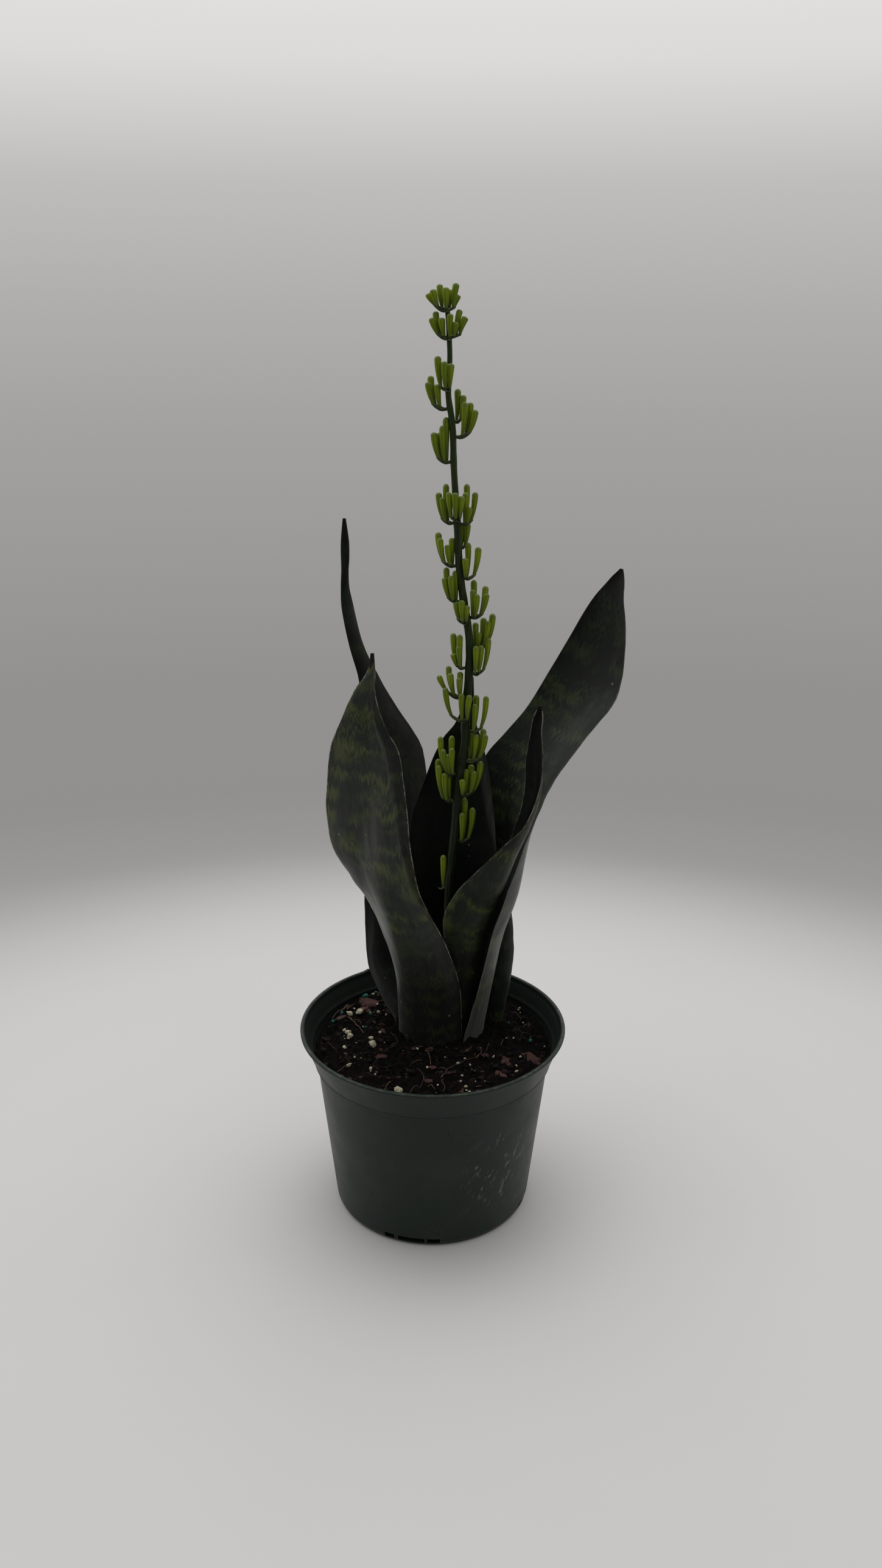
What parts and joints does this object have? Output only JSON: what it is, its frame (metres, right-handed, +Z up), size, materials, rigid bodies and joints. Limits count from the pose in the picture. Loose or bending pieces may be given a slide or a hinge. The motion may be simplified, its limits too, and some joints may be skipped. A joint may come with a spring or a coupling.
{
  "type": "potted snake plant",
  "caption": "Snake plant with upright curved sword leaves and a tall stalk of closed flower buds, growing in potting mix in a round plastic nursery pot.",
  "frame": {"origin": "centre of the pot's flat base, on the surface it stands on", "axes": "+Z up, along the pot's axis and the flower stalk; -Y is the side the picture looks at; +X is to its right"},
  "size_m": [0.1905, 0.158, 0.5305],
  "materials": {
    "pot_plastic": "dark grey-green moulded plastic, satin, scuffed",
    "potting_mix": "loose moist peat and bark, matte",
    "leaf": "waxy, satin, dark green with paler cross bands",
    "stalk": "fleshy green stem, satin",
    "bud": "yellow-green petals, satin",
    "bark": "rough, matte",
    "perlite": "rough, matte"
  },
  "bodies": {
    "root": {"pot": "pot_plastic", "potting_mix": "potting_mix", "leaf_front_left": "leaf", "leaf_back_left": "leaf", "leaf_back_centre": "leaf", "leaf_back_right": "leaf", "leaf_front_right": "leaf", "leaf_outer_short": "leaf", "flower_stalk": "stalk", "flower_cluster_01": "bud", "flower_cluster_02": "bud", "flower_cluster_03": "bud", "flower_cluster_04": "bud", "flower_cluster_05": "bud", "flower_cluster_06": "bud", "flower_cluster_07": "bud", "flower_cluster_08": "bud", "flower_cluster_09": "bud", "flower_cluster_10": "bud", "flower_cluster_11": "bud", "flower_cluster_12": "bud", "flower_cluster_13": "bud", "flower_cluster_14": "bud", "flower_cluster_15": "bud", "flower_cluster_16": "bud", "flower_cluster_17": "bud", "flower_cluster_18": "bud", "flower_cluster_19": "bud", "flower_cluster_20": "bud", "flower_cluster_21": "bud", "flower_cluster_22": "bud", "flower_cluster_23": "bud", "flower_cluster_24": "bud", "flower_cluster_25": "bud", "flower_cluster_26": "bud", "flower_cluster_27": "bud", "flower_cluster_28": "bud", "bark_chip_left": "bark", "bark_chip_right": "bark", "bark_chip_rim": "bark", "perlite_grain_back": "perlite", "perlite_grain_left": "perlite", "perlite_grain_middle": "perlite", "perlite_grain_front": "perlite"}
  },
  "joints": []
}
